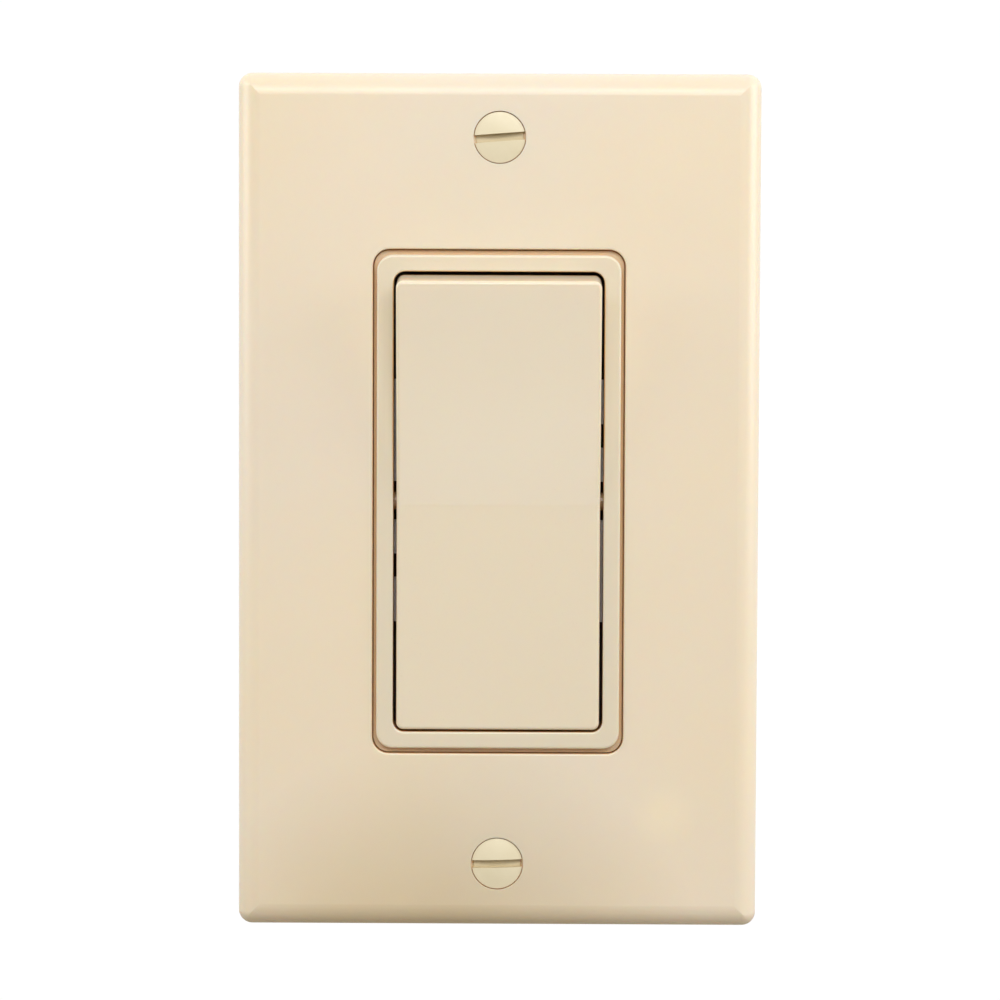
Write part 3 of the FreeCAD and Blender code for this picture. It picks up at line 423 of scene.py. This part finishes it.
def make_materials():
    """One material per slot of the record."""
    return {
        # the ivory parts and the screw paint get painted shade in their narrow gaps; the plate also gets
        # painted shade towards its bottom
        "ivory_plate": plastic("ivory_plate", (0.845, 0.742, 0.590), (0.29, 0.36), 0.10, 0.010, glow=0.35,
                               gap_shade=PAINTED_GAP_SHADE, stains_and_shade=plate_stain_and_shade(), aged=(0.855, 0.738, 0.548)),
        "ivory_bezel": plastic("ivory_bezel", (0.79, 0.70, 0.54), (0.22, 0.26), 0.10, 0.008, glow=0.35,
                               gap_shade=PAINTED_GAP_SHADE),
        "ivory_paddle": plastic("ivory_paddle", (0.84, 0.735, 0.565), (0.09, 0.12), 0.15, 0.008,
                                strength=0.06, glow=0.30, gap_shade=PAINTED_GAP_SHADE),
        "screw_paint": metal("screw_paint", (0.83, 0.74, 0.53), (0.79, 0.70, 0.485), (0.30, 0.42),
                             metallic=0.0, wear_colour=(0.70, 0.62, 0.44), gap_shade=(0.62, 0.51, 0.30)),
        "zinc_strap": metal("zinc_strap", (0.88, 0.84, 0.79), (0.72, 0.68, 0.63), (0.30, 0.45), (1, 1, 0.08),
                            metallic=0.6),
        "nylon": plastic("nylon", (0.80, 0.78, 0.70), (0.35, 0.45), 0.2, 0.03),
        "spring_steel": metal("spring_steel", (0.55, 0.55, 0.56), (0.42, 0.42, 0.44), (0.22, 0.35)),
        "brass_arm": metal("brass_arm", (0.80, 0.60, 0.30), (0.62, 0.42, 0.20), (0.22, 0.38), (1, 1, 0.1)),
        "silver": metal("silver", (0.86, 0.85, 0.82), (0.60, 0.58, 0.55), (0.25, 0.45)),
        "brass_terminal": metal("brass_terminal", (0.80, 0.60, 0.30), (0.60, 0.41, 0.19), (0.25, 0.42),
                                (0.15, 1, 1)),
        "base_plastic": plastic("base_plastic", (0.070, 0.042, 0.026), (0.42, 0.58), 0.6, 0.25,
                                grain=1800.0, grain_depth=0.05 * MM),
        "cover_plastic": plastic("cover_plastic", (0.095, 0.055, 0.030), (0.40, 0.55), 0.6, 0.20),
        "green_screw": metal("green_screw", (0.05, 0.27, 0.10), (0.03, 0.18, 0.07), (0.25, 0.40),
                             metallic=0.3, wear_colour=(0.50, 0.48, 0.40)),
        "rivet_steel": metal("rivet_steel", (0.70, 0.70, 0.72), (0.52, 0.52, 0.54), (0.25, 0.40)),
        "box_screw_steel": metal("box_screw_steel", (0.72, 0.72, 0.74), (0.52, 0.52, 0.54), (0.22, 0.36)),
        "fibre": plastic("fibre", (0.52, 0.33, 0.20), (0.65, 0.80), 0.3, 0.12, grain=1400.0,
                         grain_depth=0.08 * MM),
        "clamp_steel": metal("clamp_steel", (0.66, 0.66, 0.68), (0.45, 0.45, 0.47), (0.26, 0.42)),
        "brass_screw": metal("brass_screw", (0.82, 0.63, 0.33), (0.63, 0.44, 0.22), (0.22, 0.38)),
    }


def dress_cad():
    for row in frame["record"]["subparts"]:
        node = NODES[row["node"]]
        node.data.materials.clear()
        node.data.materials.append(MATERIALS[row["material_slot"]])


# ---- screws with real threads ----
def mark_sharp(mesh, degrees):
    """Smooth shading apart from edges sharper than this."""
    bm = bmesh.new()
    bm.from_mesh(mesh)
    limit = math.radians(degrees)
    for face in bm.faces:
        face.smooth = True
    for edge in bm.edges:
        edge.smooth = len(edge.link_faces) == 2 and edge.calc_face_angle(0.0) < limit
    bm.to_mesh(mesh)
    bm.free()


def thread_rings(start, end, radius):
    """(depth, radius by side) rings of a right-hand thread that fades out at both ends."""
    rings = []
    steps = max(2, round((end - start) / THREAD_PITCH * RINGS_PER_TURN))
    for i in range(steps + 1):
        depth = start + (end - start) * i / steps
        fade = min(1.0, (depth - start) / THREAD_PITCH, (end - depth) / THREAD_PITCH)
        sides = []
        for j in range(RING_SIDES):
            phase = (depth / THREAD_PITCH - j / RING_SIDES) % 1.0
            valley = abs(2 * phase - 1)
            sides.append(radius - THREAD_DEPTH * max(0.0, THREAD_FLANK * valley - THREAD_CREST) * fade)
        rings.append((depth, sides))
    return rings


def skin_mesh(name, loops):
    """A closed skin over loops of points, all with the same number of points, capped at both ends."""
    bm = bmesh.new()
    rows = [[bm.verts.new(point) for point in loop] for loop in loops]
    for a, b in zip(rows, rows[1:]):
        for j in range(len(a)):
            k = (j + 1) % len(a)
            bm.faces.new((a[j], a[k], b[k], b[j]))
    bm.faces.new(list(reversed(rows[0])))
    bm.faces.new(rows[-1])
    bmesh.ops.recalc_face_normals(bm, faces=bm.faces)
    return to_mesh(name, bm)


def lathe_mesh(name, rings):
    """A closed solid along +Z from rings of (depth, radius or list of radii)."""
    loops = []
    for depth, radius in rings:
        radii = radius if isinstance(radius, list) else [radius] * RING_SIDES
        loop = []
        for j, r in enumerate(radii):
            angle = 2 * math.pi * j / RING_SIDES
            loop.append((r * math.cos(angle), r * math.sin(angle), depth))
        loops.append(loop)
    return skin_mesh(name, loops)


def box_mesh(name, sizes):
    bm = bmesh.new()
    bmesh.ops.create_cube(bm, size=1.0)
    bmesh.ops.scale(bm, vec=sizes, verts=bm.verts)
    return to_mesh(name, bm)


def carved(name, mesh, cutters):
    """An object of the mesh with each cutter mesh taken out of it."""
    body = bpy.data.objects.new(name, mesh)
    bpy.context.scene.collection.objects.link(body)
    tools = []
    for i, cutter in enumerate(cutters):
        tool = bpy.data.objects.new(f"{name}_cutter{i}", cutter)
        bpy.context.scene.collection.objects.link(tool)
        modifier = body.modifiers.new(f"cut{i}", "BOOLEAN")
        modifier.operation = "DIFFERENCE"
        modifier.solver = "EXACT"
        modifier.object = tool
        tools.append(tool)
    graph = bpy.context.evaluated_depsgraph_get()
    result = bpy.data.meshes.new_from_object(body.evaluated_get(graph))
    body.modifiers.clear()
    body.data = result
    for tool in tools:
        bpy.data.objects.remove(tool)
    return body


def make_screw(node, toward_head, head, plain_end, thread_radius, slots, slot_turn, body, slot_name):
    """Builds a threaded screw in place of a CAD screw.

    toward_head is the outward unit vector of the head, head is its (depth, radius) outline from the top,
    plain_end is the depth where the thread starts, slots are (length, width, depth) cuts in the head, each
    square to the one before, and slot_name is its material's slot.
    """
    low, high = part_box(node)
    centre = (low + high) / 2
    axis = -Vector(toward_head)
    length = abs((high - low).dot(axis))
    start = centre - axis * (length / 2)
    rings = [(depth + SCREW_INSET, radius - SCREW_INSET) for depth, radius in head]
    tip = length - SCREW_INSET
    rings += [(plain_end - THREAD_RUN_IN, thread_radius - THREAD_DEPTH * PLAIN_SHARE)]
    rings += thread_rings(plain_end, tip - POINT_LENGTH, thread_radius)
    rings += [(tip, thread_radius * POINT_SHARE)]
    cutters = []
    for i, (span, width, depth) in enumerate(slots):
        sizes = (span, width, 2 * depth) if i == 0 else (width, span, 2 * depth)
        cutters.append(box_mesh(f"{node}_slot{i}", sizes))
    piece = carved(f"{node}_threaded", lathe_mesh(f"{node}_threaded", rings), cutters)
    mark_sharp(piece.data, SCREW_CREASE)
    across = Vector((1, 0, 0)) if abs(axis.x) < 0.5 else Vector((0, 1, 0))
    other = axis.cross(across)
    turn = Matrix((across, other, axis)).transposed().to_4x4()
    piece.data.transform(Matrix.Translation(start) @ turn @ Matrix.Rotation(math.radians(slot_turn), 4, "Z"))
    piece.data.materials.clear()
    piece.data.materials.append(MATERIALS[slot_name])
    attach(piece, body)
    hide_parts(node)


def oval_head():
    """Outline of a plate screw's crowned head, down to where its shank starts."""
    ball = (OVAL_RIM * OVAL_RIM + OVAL_DOME * OVAL_DOME) / (2 * OVAL_DOME)
    outline = [(0.0, OVAL_FLAT)]
    for step in range(2, OVAL_STEPS + 1):
        radius = OVAL_RIM * step / OVAL_STEPS
        outline.append((ball - math.sqrt(ball * ball - radius * radius), radius))
    foot = OVAL_DOME + OVAL_EDGE
    return outline + [(foot, OVAL_RIM), (foot + OVAL_NECK, PLATE_THREAD_R)]


def make_screws():
    oval = oval_head()
    for node, tilt in (("plate_screw_upper", -4.5), ("plate_screw_lower", -1.5)):
        make_screw(node, (0, -1, 0), oval, PLATE_PLAIN, PLATE_THREAD_R, [PLATE_SLOT], tilt,
                   "device", "screw_paint")
    for node, tilt in (("box_screw_upper", 24), ("box_screw_lower", -37)):
        make_screw(node, (0, -1, 0), PAN_HEAD, BOX_PLAIN, THREAD_R, CROSS, tilt, "device", "box_screw_steel")
    for node, tilt, body in (("terminal_screw_line", 15, "screw_line"),
                             ("terminal_screw_load", 62, "screw_load")):
        make_screw(node, (1, 0, 0), BINDING_HEAD, TERMINAL_PLAIN, THREAD_R, CROSS, tilt, body, "brass_screw")
    make_screw("ground_screw", (-1, 0, 0), GROUND_HEAD, GROUND_PLAIN, THREAD_R, CROSS, 38,
               "device", "green_screw")


def coil_height(turn, rise):
    """How far up the spring its wire is after so many turns; the first and last turns lie nearly flat."""
    flat = CLOSED_PITCH * CLOSED_TURNS
    if turn < CLOSED_TURNS:
        return flat * turn / CLOSED_TURNS
    if turn > SPRING_TURNS - CLOSED_TURNS:
        return rise - flat * (SPRING_TURNS - turn) / CLOSED_TURNS
    open_turns = SPRING_TURNS - 2 * CLOSED_TURNS
    return flat + (rise - 2 * flat) * (turn - CLOSED_TURNS) / open_turns


def coil_mesh(name, radius, rise):
    """Wire wound along +Z from z = 0 to z = rise, measured at the wire's centre."""
    loops = []
    for i in range(round(SPRING_TURNS * TURN_STEPS) + 1):
        turn = i / TURN_STEPS
        angle = 2 * math.pi * turn
        loop = []
        for j in range(WIRE_SIDES):
            around = 2 * math.pi * j / WIRE_SIDES
            out = radius + SPRING_WIRE * math.cos(around)
            up = coil_height(turn, rise) + SPRING_WIRE * math.sin(around)
            loop.append((out * math.cos(angle), out * math.sin(angle), up))
        loops.append(loop)
    return skin_mesh(name, loops)


def make_spring():
    """The plunger's spring, with flat ends, as one rigid coil that rides with the paddle."""
    joints = frame["record"]["behaviour"]["joints"]
    slide = next(joint for joint in joints if joint["name"] == "plunger_slide")
    low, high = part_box("plunger_spring")
    outer = (high.x - low.x) / 2
    axis = Vector(slide["axis"]).normalized()
    length = (high.y - low.y - 2 * outer * abs(axis.z)) / abs(axis.y)
    free_end = (low + high) / 2 - axis * (length / 2)
    coil = coil_mesh("plunger_spring_coil", outer - SPRING_WIRE, length - 2 * SPRING_WIRE)
    piece = bpy.data.objects.new("plunger_spring_coil", coil)
    bpy.context.scene.collection.objects.link(piece)
    mark_sharp(piece.data, SPRING_CREASE)
    across = Vector((1, 0, 0))
    turn = Matrix((across, axis.cross(across), axis)).transposed().to_4x4()
    piece.data.transform(Matrix.Translation(free_end + axis * SPRING_WIRE) @ turn)
    piece.data.materials.append(MATERIALS["spring_steel"])
    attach(piece, "paddle")
    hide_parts("plunger_spring")
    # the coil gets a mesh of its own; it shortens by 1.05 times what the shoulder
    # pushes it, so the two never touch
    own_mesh(piece)


make_camera()
make_lights()
make_world()
make_floor()
MATERIALS = make_materials()
dress_cad()
make_screws()
make_spring()
